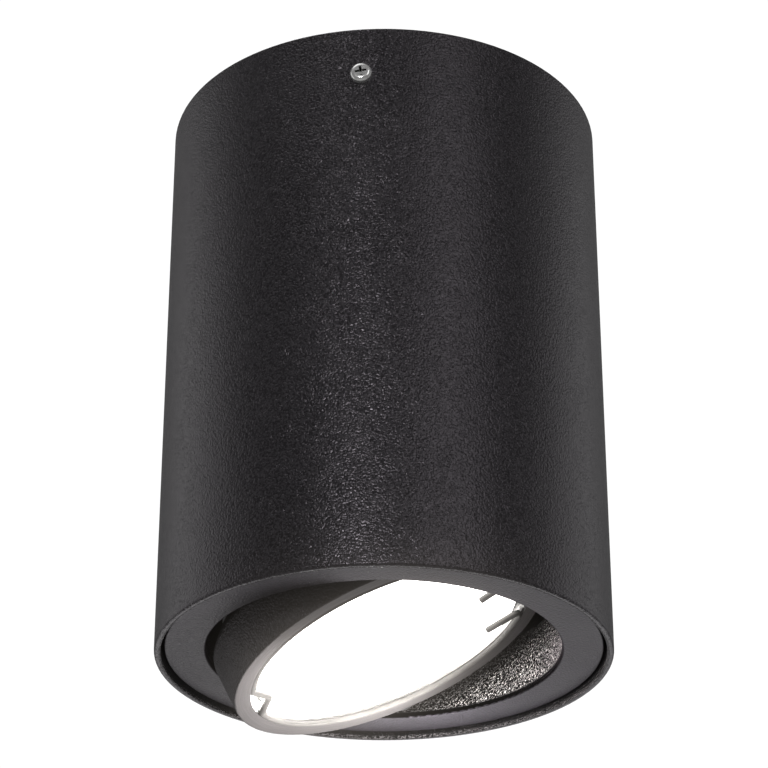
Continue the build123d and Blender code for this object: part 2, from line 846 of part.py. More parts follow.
for name, points in (
    ("earth_lead", earth_route),
    ("upper_a", upper_a),
    ("upper_b", upper_b),
    ("lower_a", lower_a),
    ("lower_b", lower_b),
):
    print(name, "bend radii", [round(r, 1) for r in bend_radii(points)])
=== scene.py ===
import math
import random

import bmesh
import bpy
from mathutils import Matrix, Vector


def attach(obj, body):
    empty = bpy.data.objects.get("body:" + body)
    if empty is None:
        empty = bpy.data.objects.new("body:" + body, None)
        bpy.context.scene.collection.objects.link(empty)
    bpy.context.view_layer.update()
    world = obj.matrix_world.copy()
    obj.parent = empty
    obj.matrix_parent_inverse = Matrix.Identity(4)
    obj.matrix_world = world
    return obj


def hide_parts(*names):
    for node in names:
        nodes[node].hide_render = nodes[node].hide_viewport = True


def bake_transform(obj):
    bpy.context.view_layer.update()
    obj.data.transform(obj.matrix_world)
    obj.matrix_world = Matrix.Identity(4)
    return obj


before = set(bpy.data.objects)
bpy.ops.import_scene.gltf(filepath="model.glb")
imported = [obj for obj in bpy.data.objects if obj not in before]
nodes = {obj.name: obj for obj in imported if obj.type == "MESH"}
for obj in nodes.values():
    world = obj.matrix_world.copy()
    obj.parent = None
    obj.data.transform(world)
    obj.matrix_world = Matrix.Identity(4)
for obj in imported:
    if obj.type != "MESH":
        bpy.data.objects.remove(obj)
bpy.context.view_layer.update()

MM = 0.001

# the head's own axes at rest, as in the CAD part
TILT = math.radians(22.0)
PIVOT = Vector((0, 0, -0.1028))
HEAD_X = Vector((math.cos(TILT), 0, math.sin(TILT)))
HEAD_Z = Vector((-math.sin(TILT), 0, math.cos(TILT)))
LAMP_SET = -1.4  # the lamp's axes lie this far forward of the head's, in mm


def head_point(x, y, h):
    """A point in the head's own axes (mm) as a point of the whole object (m)."""
    return PIVOT + MM * (x * HEAD_X + Vector((0, y, 0)) + h * HEAD_Z)


# ------------------------------------------------------------- camera, light
scene = bpy.context.scene
scene.view_settings.view_transform = "Standard"
scene.view_settings.look = "None"
scene.view_settings.exposure = 0.0
scene.view_settings.gamma = 1.0

cam_data = bpy.data.cameras.new("camera")
cam_data.sensor_width = 36.0
cam_data.lens = 128.43
cam_data.clip_start = 0.02
cam_data.clip_end = 60.0
camera = bpy.data.objects.new("camera", cam_data)
scene.collection.objects.link(camera)
camera.location = (0.0459, -0.4522, -0.2948)
aim = Vector((0.0, 0.0, -0.0523))
camera.rotation_mode = "QUATERNION"
camera.rotation_quaternion = (aim - camera.location).to_track_quat("-Z", "Y")
scene.camera = camera

VIEW_AZ = math.atan2(camera.location.y, camera.location.x)  # from the tube to the camera


def area(name, turn, up, distance, width, height, power, colour=(1, 1, 1)):
    """A soft box: turn degrees to the right of the camera, up degrees above the
    tube's middle, facing it."""
    data = bpy.data.lights.new(name, "AREA")
    data.shape = "RECTANGLE"
    data.size, data.size_y = width, height
    data.energy = power
    data.color = colour
    ob = bpy.data.objects.new(name, data)
    scene.collection.objects.link(ob)
    a = VIEW_AZ + math.radians(turn)
    e = math.radians(up)
    mid = Vector((0, 0, -0.055))
    at = mid + distance * Vector((math.cos(a) * math.cos(e), math.sin(a) * math.cos(e), math.sin(e)))
    ob.location = at
    ob.rotation_mode = "QUATERNION"
    ob.rotation_quaternion = (mid - at).to_track_quat("-Z", "Y")
    ob.visible_camera = False
    return ob


area("key_left", -11, 5, 1.5, 0.2, 0.18, 5.4)
area("fill_right", 33, 20, 1.6, 0.6, 1.0, 2.8)
area("top_left", -42, 66, 1.1, 0.65, 0.70, 1.6)
area("edge_left", -110, 4, 1.5, 1.4, 1.8, 4.5)
area("edge_right", 112, 4, 1.5, 1.3, 1.8, 3.6)
area("back_low", 180, -27, 1.6, 2.0, 0.9, 5.5)


def lamp_glow(name, at, radius, power, colour):
    """The lamp's stray light in front of its lens; it rides on the head."""
    data = bpy.data.lights.new(name, "POINT")
    data.energy = power
    data.color = colour
    data.shadow_soft_size = radius
    ob = bpy.data.objects.new(name, data)
    scene.collection.objects.link(ob)
    ob.location = at
    ob.visible_camera = False
    ob.visible_glossy = False
    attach(ob, "head")
    return ob


for i, (angle, power) in enumerate(
    ((88, 0.036), (106, 0.045), (130, 0.026), (158, 0.027), (186, 0.025), (210, 0.026))
):
    spot = head_point(23.5 * math.cos(math.radians(angle)), 23.5 * math.sin(math.radians(angle)), -12.0)
    lamp_glow(f"lamp_glow_{i + 1}", spot, 0.003, power, (1.0, 0.965, 0.93))

world = bpy.data.worlds.new("studio")
scene.world = world
world.use_nodes = True
wt = world.node_tree
wt.nodes.clear()
path = wt.nodes.new("ShaderNodeLightPath")
soft = wt.nodes.new("ShaderNodeBackground")
soft.inputs["Color"].default_value = (1.0, 0.985, 1.0, 1)
soft.inputs["Strength"].default_value = 0.143
white = wt.nodes.new("ShaderNodeBackground")
white.inputs["Color"].default_value = (1, 1, 1, 1)
white.inputs["Strength"].default_value = 1.05
mix = wt.nodes.new("ShaderNodeMixShader")
world_out = wt.nodes.new("ShaderNodeOutputWorld")
wt.links.new(path.outputs["Is Camera Ray"], mix.inputs["Fac"])
wt.links.new(soft.outputs[0], mix.inputs[1])
wt.links.new(white.outputs[0], mix.inputs[2])
wt.links.new(mix.outputs[0], world_out.inputs["Surface"])


# ----------------------------------------------------------------- materials
class Nodes:
    """Short ways to write a material's node tree."""

    def __init__(self, name):
        self.mat = bpy.data.materials.new(name)
        self.mat.use_nodes = True
        self.t = self.mat.node_tree
        self.t.nodes.clear()
        self.out = self.t.nodes.new("ShaderNodeOutputMaterial")
        self.bsdf = self.t.nodes.new("ShaderNodeBsdfPrincipled")
        self.link(self.bsdf.outputs["BSDF"], self.out.inputs["Surface"])
        self.tc = self.t.nodes.new("ShaderNodeTexCoord")
        self.where = self.tc.outputs["Object"]
        self.uv = self.tc.outputs["UV"]

    def link(self, a, b):
        self.t.links.new(a, b)

    def put(self, target, value):
        if isinstance(value, bpy.types.NodeSocket):
            self.link(value, target)
        else:
            target.default_value = value

    def set(self, **values):
        for key, value in values.items():
            self.put(self.bsdf.inputs[key.replace("_", " ")], value)

    def scaled(self, sx, sy, sz, where=None, turn=(0, 0, 0)):
        n = self.t.nodes.new("ShaderNodeMapping")
        n.inputs["Scale"].default_value = (sx, sy, sz)
        n.inputs["Rotation"].default_value = turn
        self.link(where or self.where, n.inputs["Vector"])
        return n.outputs["Vector"]

    def head_axes(self):
        """Position in the head's own axes, in metres."""
        n = self.t.nodes.new("ShaderNodeMapping")
        n.vector_type = "TEXTURE"
        n.inputs["Location"].default_value = PIVOT
        n.inputs["Rotation"].default_value = (0, -TILT, 0)
        self.link(self.where, n.inputs["Vector"])
        return n.outputs["Vector"]

    def split(self, where=None):
        n = self.t.nodes.new("ShaderNodeSeparateXYZ")
        self.link(where or self.where, n.inputs["Vector"])
        return n.outputs["X"], n.outputs["Y"], n.outputs["Z"]

    def join(self, x, y, z):
        n = self.t.nodes.new("ShaderNodeCombineXYZ")
        for target, value in zip(n.inputs, (x, y, z)):
            self.put(target, value)
        return n.outputs["Vector"]

    def round_axes(self, where=None):
        """Radius, angle and height about the z axis of the given position."""
        x, y, z = self.split(where)
        r = self.math("SQRT", self.math("ADD", self.math("MULTIPLY", x, x), self.math("MULTIPLY", y, y)))
        return r, self.math("ARCTAN2", y, x), z

    def noise(self, scale, detail=3.0, rough=0.5, where=None, distortion=0.0):
        n = self.t.nodes.new("ShaderNodeTexNoise")
        n.inputs["Scale"].default_value = scale
        n.inputs["Detail"].default_value = detail
        n.inputs["Roughness"].default_value = rough
        n.inputs["Distortion"].default_value = distortion
        self.link(where or self.where, n.inputs["Vector"])
        return n.outputs["Fac"]

    def cells(self, scale, feature="F1", smooth=0.5, where=None, out="Distance"):
        n = self.t.nodes.new("ShaderNodeTexVoronoi")
        n.feature = feature
        n.inputs["Scale"].default_value = scale
        if feature == "SMOOTH_F1":
            n.inputs["Smoothness"].default_value = smooth
        self.link(where or self.where, n.inputs["Vector"])
        return n.outputs[out]

    def math(self, op, a, b=0.0, clamp=False):
        n = self.t.nodes.new("ShaderNodeMath")
        n.operation = op
        n.use_clamp = clamp
        self.put(n.inputs[0], a)
        self.put(n.inputs[1], b)
        return n.outputs[0]

    def add(self, *values):
        out = values[0]
        for v in values[1:]:
            out = self.math("ADD", out, v)
        return out

    def times(self, a, b):
        return self.math("MULTIPLY", a, b)

    def span(self, value, lo, hi, a=0.0, b=1.0):
        n = self.t.nodes.new("ShaderNodeMapRange")
        self.link(value, n.inputs["Value"])
        n.inputs["From Min"].default_value = a
        n.inputs["From Max"].default_value = b
        n.inputs["To Min"].default_value = lo
        n.inputs["To Max"].default_value = hi
        return n.outputs["Result"]

    def ramp(self, value, *stops):
        n = self.t.nodes.new("ShaderNodeValToRGB")
        e = n.color_ramp.elements
        while len(e) < len(stops):
            e.new(0.5)
        for slot, (at, colour) in zip(e, stops):
            slot.position = at
            slot.color = (*colour, 1)
        self.link(value, n.inputs["Fac"])
        return n.outputs["Color"]

    def mix(self, fac, a, b):
        n = self.t.nodes.new("ShaderNodeMix")
        n.data_type = "RGBA"
        self.put(n.inputs["Factor"], fac)
        self.put(n.inputs[6], a if isinstance(a, bpy.types.NodeSocket) else (*a, 1))
        self.put(n.inputs[7], b if isinstance(b, bpy.types.NodeSocket) else (*b, 1))
        return n.outputs[2]

    def bump(self, height, distance, strength=1.0, normal=None):
        n = self.t.nodes.new("ShaderNodeBump")
        self.put(n.inputs["Strength"], strength)
        n.inputs["Distance"].default_value = distance
        self.link(height, n.inputs["Height"])
        if normal is not None:
            self.link(normal, n.inputs["Normal"])
        return n.outputs["Normal"]


def coat(name, depth=0.00013, rough=(0.18, 0.27), tube=False, lip=False, collar=False, tint=(0.0185, 0.0175, 0.019), specular=0.5):
    """Black powder coat with a fine leather-like grain."""
    n = Nodes(name)
    cell = n.cells(2700, "SMOOTH_F1", 0.7)
    crease = n.noise(2900, 0.0, 0.5, distortion=0.5)
    height = n.add(n.times(cell, 0.5), n.times(crease, 0.8))
    patch = n.noise(55, 3.0, 0.5)
    wide = n.noise(240, 3.0, 0.6)
    colour = n.mix(n.span(crease, 0, 1, 0.35, 0.65), tuple(c * 0.4 for c in tint), tuple(c * 1.6 for c in tint))
    colour = n.mix(n.span(patch, 0.0, 0.3, 0.35, 0.7), colour, tuple(c * 1.4 for c in tint))
    strength = n.span(wide, 0.75, 1.0, 0.3, 0.7)
    roughness = n.span(n.add(crease, n.times(patch, 0.4)), rough[0], rough[1], 0.4, 1.0)
    if tube:
        # inside the tube's mouth the grain's colour speckle is stronger, partly painted glints; above the rim the
        # wall is painted near-black and dull as a painted shadow of the gap
        r, a, z = n.round_axes()
        mouth = n.span(r, 1.0, 0.0, 0.0400, 0.0402)
        # painted shadow of the gap: the inner wall above the rim is coloured near-black
        painted_gap_shadow = n.times(mouth, n.span(z, 0.0, 1.0, -0.1076, -0.1072))
        # coat grain with raised colour contrast, partly painted glints
        grain = n.mix(n.span(crease, 0, 1, 0.42, 0.6), (0.003, 0.003, 0.003), (0.036, 0.0345, 0.0355))
        colour = n.mix(mouth, colour, n.mix(painted_gap_shadow, grain, (0.002, 0.002, 0.002)))
        roughness = n.add(roughness, n.times(painted_gap_shadow, 0.45))
        height = n.times(height, n.add(1.0, n.times(mouth, 1.5)))
    if collar:
        # inside the collar the coat is thicker, glossier and more grainy; its lowest band, next to the face, is
        # painted near-black and dull as a painted shadow line
        r, a, z = n.round_axes()
        bore = n.span(r, 1.0, 0.0, 0.0319, 0.0322)
        within = n.times(bore, n.span(z, 0.0, 1.0, -0.10605, -0.1057))
        # the lowest band of the collar's bore, which carries a painted shadow line
        edge = n.times(bore, n.span(z, 1.0, 0.0, -0.10605, -0.1057))
        height = n.times(height, n.add(1.0, n.times(within, 3.0)))
        roughness = n.add(n.times(roughness, n.math("SUBTRACT", 1.0, within)), n.times(within, 0.1))
        roughness = n.add(roughness, n.times(edge, 0.4))
        grain = n.mix(n.span(crease, 0, 1, 0.40, 0.60), (0.004, 0.004, 0.004), (0.24, 0.232, 0.23))
        colour = n.mix(within, colour, grain)
        # painted shadow line: near-black colour along the collar's lower edge
        colour = n.mix(edge, colour, (0.002, 0.002, 0.002))
        n.set(Metallic=n.add(n.times(within, 0.95), edge))
    if lip:
        # the lip's flat front is turned smooth; inside it the metal is left bare
        x, y, h = n.split(n.head_axes())
        front = n.span(h, 1.0, 0.0, -0.00328, -0.00315)
        r, a, hh = n.round_axes(n.head_axes())
        inside = n.times(n.span(r, 1.0, 0.0, 0.02698, 0.0271), n.span(h, 0.0, 1.0, -0.00245, -0.0023))
        smooth = n.math("MAXIMUM", front, inside)
        rings = n.noise(3000, 3.0, 0.6, where=n.join(r, hh, n.times(a, 0.001)))
        strength = n.times(strength, n.math("SUBTRACT", 1.0, n.times(smooth, 0.93)))
        roughness = n.add(n.times(roughness, n.math("SUBTRACT", 1.0, smooth)), n.times(smooth, n.span(rings, 0.42, 0.58, 0.3, 0.7)))
        colour = n.mix(front, colour, (0.030, 0.0285, 0.029))
        colour = n.mix(inside, colour, n.mix(rings, (0.66, 0.66, 0.66), (0.78, 0.78, 0.77)))
    n.set(Base_Color=colour, Roughness=roughness, Normal=n.bump(height, depth, strength))
    n.bsdf.inputs["Specular IOR Level"].default_value = specular
    n.bsdf.inputs["Specular Tint"].default_value = (1.0, 0.91, 1.0, 1.0)
    return n.mat


def zinc():
    """Zinc-plated sheet steel: fine rolling lines, cloudy passivation."""
    n = Nodes("zinc_plated_steel")
    lines = n.noise(900, 4.0, 0.6, where=n.scaled(1.0, 0.06, 1.0))
    cloud = n.noise(90, 4.0, 0.55, distortion=0.8)
    colour = n.ramp(cloud, (0.3, (0.60, 0.62, 0.66)), (0.5, (0.66, 0.66, 0.66)), (0.72, (0.66, 0.63, 0.56)))
    n.set(
        Base_Color=colour,
        Roughness=n.span(n.add(n.times(lines, 0.6), n.times(cloud, 0.4)), 0.24, 0.46, 0.3, 0.75),
        Normal=n.bump(n.add(lines, n.times(n.noise(5000, 2.0), 0.3)), 0.00002, 0.7),
    )
    n.bsdf.inputs["Metallic"].default_value = 1.0
    return n.mat


def nickel():
    """Nickel-plated screw: bright, with faint tumbling marks."""
    n = Nodes("nickel_plated_steel")
    marks = n.noise(2600, 4.0, 0.65, where=n.scaled(1.0, 1.0, 0.15))
    cloud = n.noise(700, 3.0)
    # the arms of the cross recess are painted near-black as painted shade; its middle keeps the bright plating
    x, y, z = n.split()
    up = n.math("ADD", z, 0.0101)
    across = n.math("SQRT", n.add(n.times(x, x), n.times(up, up)))
    arms = n.times(n.span(across, 0.0, 1.0, 0.00028, 0.00036), n.span(across, 1.0, 0.0, 0.00112, 0.00118))
    painted_recess_shade = n.times(arms, n.span(n.math("ABSOLUTE", y), 1.0, 0.0, 0.04208, 0.04216))
    plating = n.ramp(cloud, (0.3, (0.80, 0.80, 0.79)), (0.7, (0.90, 0.90, 0.89)))
    n.set(
        # painted shade: the arms of the cross recess are coloured near-black
        Base_Color=n.mix(painted_recess_shade, plating, (0.02, 0.02, 0.02)),
        Roughness=n.span(marks, 0.15, 0.30, 0.3, 0.75),
        Normal=n.bump(marks, 0.000012, 0.6),
    )
    n.bsdf.inputs["Metallic"].default_value = 0.8
    return n.mat


def turned(name, colour_a, colour_b, rough, on_head=False, metallic=1.0, pitch=2200, depth=0.00001):
    """Metal turned on a lathe: fine rings round its axis."""
    n = Nodes(name)
    r, a, z = n.round_axes(n.head_axes() if on_head else None)
    rings = n.noise(pitch, 3.0, 0.6, where=n.join(r, z, n.times(a, 0.0012)))
    cloud = n.noise(60, 3.0)
    n.set(
        Base_Color=n.mix(n.span(cloud, 0, 1, 0.3, 0.7), colour_a, colour_b),
        Roughness=n.span(rings, rough[0], rough[1], 0.3, 0.7),
        Normal=n.bump(rings, depth, 0.8),
    )
    n.bsdf.inputs["Metallic"].default_value = metallic
    return n.mat


def drawn_wire():
    """Blackened spring wire: drawing lines along its length (u) and a slight haze."""
    n = Nodes("spring_steel")
    lines = n.noise(1.0, 4.0, 0.6, where=n.scaled(12.0, 60.0, 1.0, where=n.uv))
    haze = n.noise(400, 3.0)
    n.set(
        Base_Color=n.ramp(haze, (0.3, (0.045, 0.044, 0.043)), (0.7, (0.062, 0.060, 0.058))),
        Roughness=n.span(lines, 0.4, 0.58, 0.3, 0.7),
        Normal=n.bump(lines, 0.00001, 0.6),
    )
    n.bsdf.inputs["Metallic"].default_value = 0.3
    return n.mat


def moulded(name, colour_a, colour_b, rough, grain=2600, depth=0.00002, cloud_scale=80, specular=0.5):
    """Moulded plastic or rubber: faint eroded-mould grain, slight flow clouds."""
    n = Nodes(name)
    g = n.noise(grain, 3.0, 0.6)
    cloud = n.noise(cloud_scale, 3.0, 0.5, distortion=0.5)
    n.set(
        Base_Color=n.mix(n.span(cloud, 0, 1, 0.3, 0.7), colour_a, colour_b),
        Roughness=n.span(n.add(n.times(g, 0.6), n.times(cloud, 0.4)), rough[0], rough[1], 0.3, 0.7),
        Normal=n.bump(g, depth, 0.8),
    )
    n.bsdf.inputs["Specular IOR Level"].default_value = specular
    return n.mat


def metal(name, colour_a, colour_b, rough, stretch=(1.0, 1.0, 0.1), scale=2000, depth=0.00001):
    """Drawn or machined metal with faint lines."""
    n = Nodes(name)
    lines = n.noise(scale, 4.0, 0.6, where=n.scaled(*stretch))
    cloud = n.noise(180, 3.0, 0.5)
    n.set(
        Base_Color=n.mix(n.span(cloud, 0, 1, 0.3, 0.7), colour_a, colour_b),
        Roughness=n.span(n.add(n.times(lines, 0.6), n.times(cloud, 0.4)), rough[0], rough[1], 0.3, 0.7),
        Normal=n.bump(lines, depth, 0.7),
    )
    n.bsdf.inputs["Metallic"].default_value = 1.0
    return n.mat


def lens_material():
    """The lit lens: its own light is so strong that the photo shows it plain white."""
    n = Nodes("lit_lamp_lens")
    glow = n.noise(160, 2.0, 0.5)
    grain = n.cells(1500, "SMOOTH_F1", 0.4)
    n.set(
        Base_Color=n.ramp(glow, (0.3, (0.90, 0.90, 0.89)), (0.7, (0.96, 0.96, 0.95))),
        Roughness=n.span(grain, 0.18, 0.34),
        Normal=n.bump(grain, 0.00003, 0.5),
        Emission_Color=n.ramp(glow, (0.3, (1.0, 0.972, 0.93)), (0.7, (1.0, 0.985, 0.955))),
    )
    n.bsdf.inputs["Emission Strength"].default_value = 4.0
    return n.mat


def led_board():
    """White board with yellow phosphor over its seven LED chips."""
    n = Nodes("lamp_led_board")
    where = n.head_axes()
    x, y, h = n.split(where)
    chip = n.span(h, 1.0, 0.0, (9.0 - 0.12 + LAMP_SET) * MM, (9.0 - 0.05 + LAMP_SET) * MM)
    tracks = n.cells(260, "DISTANCE_TO_EDGE", where=where)
    mask = n.noise(1400, 3.0)
    board = n.mix(n.span(tracks, 1.0, 0.0, 0.02, 0.07), (0.82, 0.82, 0.80), (0.70, 0.72, 0.70))
    phosphor = n.mix(mask, (0.85, 0.62, 0.08), (0.92, 0.74, 0.16))
    n.set(
        Base_Color=n.mix(chip, board, phosphor),
        Roughness=n.span(mask, 0.3, 0.55, 0.3, 0.7),
        Normal=n.bump(n.add(tracks, n.times(mask, 0.2)), 0.00002, 0.6),
    )
    return n.mat


def ceramic():
    """Unglazed steatite: off-white, fine pores."""
    n = Nodes("lampholder_ceramic")
    pores = n.cells(2400, "F1")
    cloud = n.noise(120, 4.0, 0.6)
    n.set(
        Base_Color=n.ramp(cloud, (0.3, (0.80, 0.77, 0.70)), (0.7, (0.88, 0.86, 0.80))),
        Roughness=n.span(n.add(n.times(pores, 0.5), n.times(cloud, 0.5)), 0.32, 0.6, 0.2, 0.7),
        Normal=n.bump(n.math("MINIMUM", pores, 0.35), 0.00005, 0.6),
    )
    return n.mat


def braid():
    """Braided glass-fibre sleeve on the swivel axis: two crossing sets of strands."""
    n = Nodes("glass_fibre_sleeve")
    r, a, z = n.round_axes()
    turns = n.times(a, 12.0)
    rise = n.times(z, 5200.0)
    one = n.math("SINE", n.add(turns, rise))
    two = n.math("SINE", n.math("SUBTRACT", turns, rise))
    strand = n.math("MAXIMUM", one, two)
    fibre = n.noise(4200, 3.0, 0.6)
    n.set(
        Base_Color=n.mix(n.span(strand, 0.0, 1.0, -0.3, 1.0), (0.62, 0.60, 0.54), (0.84, 0.83, 0.79)),
        Roughness=n.span(fibre, 0.6, 0.85),
        Normal=n.bump(n.add(strand, n.times(fibre, 0.6)), 0.00009, 0.9),
    )
    return n.mat


def silicone():
    """Silicone lead insulation: soft sheen, faint extrusion lines along it."""
    n = Nodes("white_silicone_insulation")
    lines = n.noise(1.0, 3.0, 0.5, where=n.scaled(3.0, 24.0, 1.0, where=n.uv))
    dust = n.noise(1900, 4.0, 0.6)
    n.set(
        Base_Color=n.ramp(dust, (0.35, (0.74, 0.72, 0.68)), (0.65, (0.83, 0.82, 0.79))),
        Roughness=n.span(n.add(n.times(lines, 0.5), n.times(dust, 0.5)), 0.4, 0.62, 0.3, 0.7),
        Normal=n.bump(n.add(lines, n.times(dust, 0.3)), 0.00002, 0.6),
    )
    n.bsdf.inputs["Sheen Weight"].default_value = 0.1
    return n.mat


def earth_insulation():
    """Green lead with two yellow stripes that wind slowly round it."""
    n = Nodes("green_yellow_insulation")
    u, v, w = n.split(n.uv)
    around = n.math("FRACT", n.add(n.times(v, 2.0), n.times(u, 0.6)))
    stripe = n.times(n.span(around, 0.0, 1.0, 0.27, 0.29), n.span(around, 1.0, 0.0, 0.71, 0.73))
    dust = n.noise(1900, 4.0, 0.6)
    green = n.mix(dust, (0.03, 0.22, 0.05), (0.05, 0.30, 0.07))
    yellow = n.mix(dust, (0.72, 0.60, 0.05), (0.80, 0.68, 0.08))
    n.set(
        Base_Color=n.mix(stripe, green, yellow),
        Roughness=n.span(dust, 0.35, 0.55, 0.3, 0.7),
        Normal=n.bump(dust, 0.00001, 0.6),
    )
    return n.mat


COAT = coat("black_powder_coat", tube=True)
COAT_RING = coat("black_powder_coat_ring", depth=0.00011, rough=(0.36, 0.52), collar=True, tint=(0.0188, 0.0172, 0.0212))
COAT_HEAD = coat("black_powder_coat_head", depth=0.0003, rough=(0.26, 0.40), lip=True, tint=(0.018, 0.017, 0.018), specular=0.3)
ZINC = zinc()
WHITE_PA = moulded("white_polyamide", (0.80, 0.80, 0.77), (0.86, 0.86, 0.84), (0.34, 0.52))
WIRE = drawn_wire()
LENS = lens_material()
SILICONE = silicone()
EARTH = earth_insulation()
TINNED = metal("tinned_brass", (0.62, 0.62, 0.60), (0.72, 0.72, 0.70), (0.22, 0.4))
BRASS = metal("brass", (0.70, 0.52, 0.22), (0.80, 0.62, 0.30), (0.2, 0.38))
CERAMIC = ceramic()
looks = {
    "housing_tube": COAT,
    "ceiling_bracket": ZINC,
    "side_screws": nickel(),
    "cable_grommet": moulded("black_rubber", (0.018, 0.018, 0.018), (0.03, 0.03, 0.03), (0.55, 0.75), 1800, 0.00003, 140, 0.35),
    "terminal_block": WHITE_PA,
    "terminal_inserts": BRASS,
    "terminal_screws": ZINC,
    "block_screws": ZINC,
    "earth_screw": ZINC,
    "earth_washer": ZINC,
    "earth_ring_terminal": TINNED,
    "earth_lead": EARTH,
    "carrier_ring": turned("plain_aluminium", (0.66, 0.66, 0.67), (0.74, 0.74, 0.75), (0.25, 0.42)),
    "stop_pin": ZINC,
    "holder_leads_upper": SILICONE,
    "holder_leads_lower": SILICONE,
    "lead_sleeve": braid(),
    "swivel_ring": COAT_RING,
    "lower_glide_washer": WHITE_PA,
    "upper_glide_washer": WHITE_PA,
    "retaining_ring": ZINC,
    "retaining_screws": ZINC,
    "tilt_head": COAT_HEAD,
    "pivot_screws": ZINC,
    "pivot_washers": moulded("black_polyamide", (0.012, 0.012, 0.012), (0.02, 0.02, 0.02), (0.4, 0.6), 2600, 0.00002, 120, 0.4),
    "lamp_clip": WIRE,
    "lamp_lens": LENS,
    "lamp_body": turned("lamp_aluminium", (0.80, 0.80, 0.79), (0.88, 0.88, 0.87), (0.3, 0.48), on_head=True, pitch=1500),
    "lamp_led_board": led_board(),
    "lamp_base": moulded("lamp_base_plastic", (0.82, 0.82, 0.80), (0.88, 0.88, 0.86), (0.3, 0.48), 2200),
    "lamp_pins": TINNED,
    "lampholder": CERAMIC,
    "holder_back_plate": CERAMIC,
    "holder_rivets": TINNED,
    "holder_contacts": BRASS,
}
for key, ob in nodes.items():
    ob.data.materials.clear()
    ob.data.materials.append(looks[key])


# -------------------------------------------------------------- detail pieces
def mesh_object(name, verts, faces, material, uvs=None):
    mesh = bpy.data.meshes.new(name)
    mesh.from_pydata([tuple(v) for v in verts], [], faces)
    mesh.update()
    if uvs is not None:
        layer = mesh.uv_layers.new(name="UVMap")
        for loop in mesh.loops:
            layer.data[loop.index].uv = uvs[loop.vertex_index]
    mesh.polygons.foreach_set("use_smooth", [True] * len(mesh.polygons))
    mesh.materials.append(material)
    ob = bpy.data.objects.new(name, mesh)
    scene.collection.objects.link(ob)
    return ob


def rounded_path(points, radii, step=0.0004):
    """Points along a route whose corners are rounded with the given radii."""
    pts = [Vector(p) for p in points]
    out = [pts[0]]
    for i, radius in enumerate(radii, start=1):
        a, b, c = pts[i - 1], pts[i], pts[i + 1]
        d0, d1 = (b - a).normalized(), (c - b).normalized()
        turn = d0.angle(d1)
        reach = radius * math.tan(turn / 2)
        start, end = b - d0 * reach, b + d1 * reach
        inward = (d1 - d0).normalized()
        centre = b + inward * (radius / math.cos(turn / 2))
        axis = d0.cross(d1).normalized()
        count = max(4, int(radius * turn / step))
        first = start - centre
        for k in range(count + 1):
            out.append(centre + Matrix.Rotation(turn * k / count, 3, axis) @ first)
    out.append(pts[-1])
    # even spacing
    lengths = [0.0]
    for p, q in zip(out, out[1:]):
        lengths.append(lengths[-1] + (q - p).length)
    count = max(2, int(lengths[-1] / step))
    even, j = [], 0
    for k in range(count + 1):
        want = lengths[-1] * k / count
        while j < len(lengths) - 2 and lengths[j + 1] < want:
            j += 1
        span = lengths[j + 1] - lengths[j]
        even.append(out[j].lerp(out[j + 1], 0 if span < 1e-12 else (want - lengths[j]) / span))
    return even


def strip(path, radius, sides, edge=0.0, wobble=None):
    """Vertices, faces and UVs of a round wire along path with softened ends."""
    tangents = []
    for i in range(len(path)):
        a, b = path[max(i - 1, 0)], path[min(i + 1, len(path) - 1)]
        tangents.append((b - a).normalized())
    side = tangents[0].orthogonal().normalized()
    verts, uvs, rings = [], [], []
    length = 0.0
    sections = [(path[0], tangents[0], radius - edge, 0.0)]
    for i, (p, t) in enumerate(zip(path, tangents)):
        if i:
            length += (p - path[i - 1]).length
        sections.append((p, t, radius, length))
    if edge:
        sections[1] = (path[0] + tangents[0] * edge, tangents[0], radius, edge)
        sections[-1] = (path[-1] - tangents[-1] * edge, tangents[-1], radius, length - edge)
        sections.append((path[-1], tangents[-1], radius - edge, length))
    else:
        sections = sections[1:]
    for p, t, r, at in sections:
        side = (side - t * side.dot(t)).normalized()
        other = t.cross(side)
        rings.append(len(verts))
        for k in range(sides):
            ang = 2 * math.pi * k / sides
            verts.append(p + r * (math.cos(ang) * side + math.sin(ang) * other))
            uvs.append((at / (2 * math.pi * radius), k / sides))
    faces = []
    for a, b in zip(rings, rings[1:]):
        for k in range(sides):
            m = (k + 1) % sides
            faces.append((a + k, a + m, b + m, b + k))
    faces.append(tuple(rings[0] + k for k in reversed(range(sides))))
    faces.append(tuple(rings[-1] + k for k in range(sides)))
    return verts, faces, uvs


def wires(name, routes, radius, material, sides=20, edge=0.0):
    verts, faces, uvs = [], [], []
    for route in routes:
        v, f, u = strip(route, radius, sides, edge)
        base = len(verts)
        verts += v
        uvs += u
        faces += [tuple(i + base for i in face) for face in f]
    ob = mesh_object(name, verts, faces, material, uvs)
    for polygon in ob.data.polygons:
        if len(polygon.vertices) > 4:
            polygon.use_smooth = False
    return ob


def bend_radii(points, share=0.45):
    v = [Vector(p) for p in points]
    out = []
    for a, b, c in zip(v, v[1:], v[2:]):
        turn = (b - a).angle(c - b)
        run = min((b - a).length, (c - b).length)
        out.append(share * run / math.tan(turn / 2))
    return out


# wire clip: its ring, the kink on the low side and the two bent-in ends
CLIP_R, CLIP_H = 26.3, -2.85


def on_clip(angle):
    return (CLIP_R * math.cos(math.radians(angle)), CLIP_R * math.sin(math.radians(angle)))


